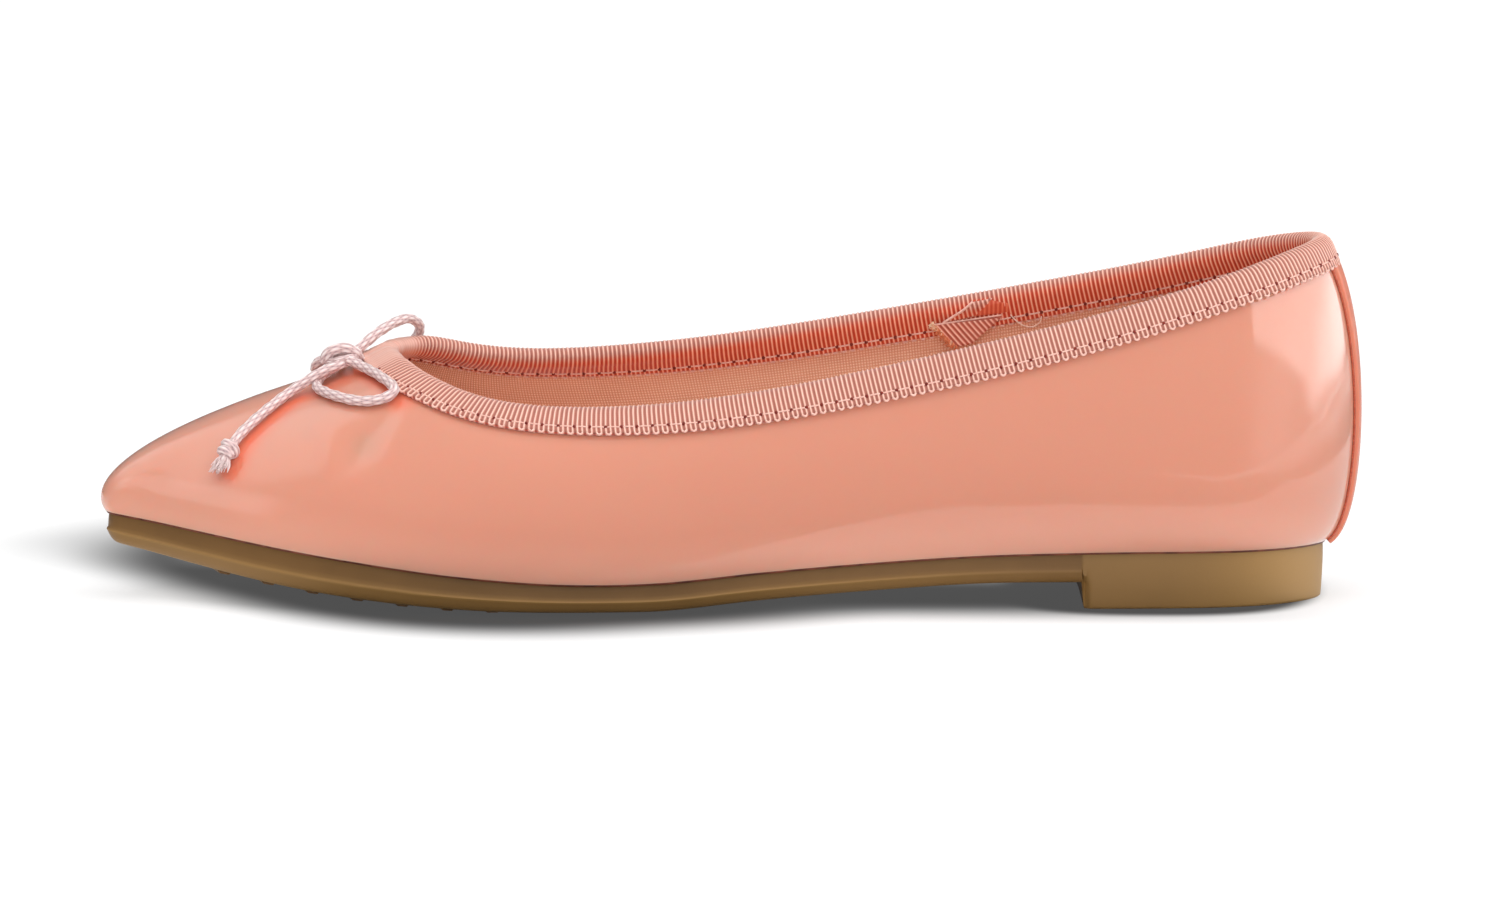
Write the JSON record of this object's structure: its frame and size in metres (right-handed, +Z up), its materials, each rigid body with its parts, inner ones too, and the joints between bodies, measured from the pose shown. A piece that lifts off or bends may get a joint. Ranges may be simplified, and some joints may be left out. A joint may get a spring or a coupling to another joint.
{
  "type": "ballet flat",
  "caption": "Low slip-on ballet flat with a rounded toe, ribbon-bound foot opening, small drawstring bow and low moulded heel.",
  "frame": {"origin": "on the floor, under the middle of the shoe", "axes": "+X from the toe to the heel along the shoe, +Y to the inner side of the foot, +Z up"},
  "size_m": [0.2596, 0.0821, 0.0743],
  "materials": {
    "patent_leather": "high-gloss patent, pale coral",
    "gum_rubber": "satin, olive-brown gum rubber",
    "grosgrain_ribbon": "ribbed ribbon, light pink",
    "footbed_canvas": "matte woven canvas",
    "satin_cord": "braided satin cord"
  },
  "bodies": {
    "root": {"outsole": "gum_rubber", "upper": "patent_leather", "back_strip": "patent_leather", "topline_binding": "grosgrain_ribbon", "insole": "footbed_canvas", "bow_knot": "satin_cord", "bow_loop_outer": "satin_cord", "bow_loop_inner": "satin_cord", "bow_tail_outer": "satin_cord", "bow_tail_inner": "satin_cord", "tail_knot_outer": "satin_cord", "tail_knot_inner": "satin_cord"}
  },
  "joints": []
}
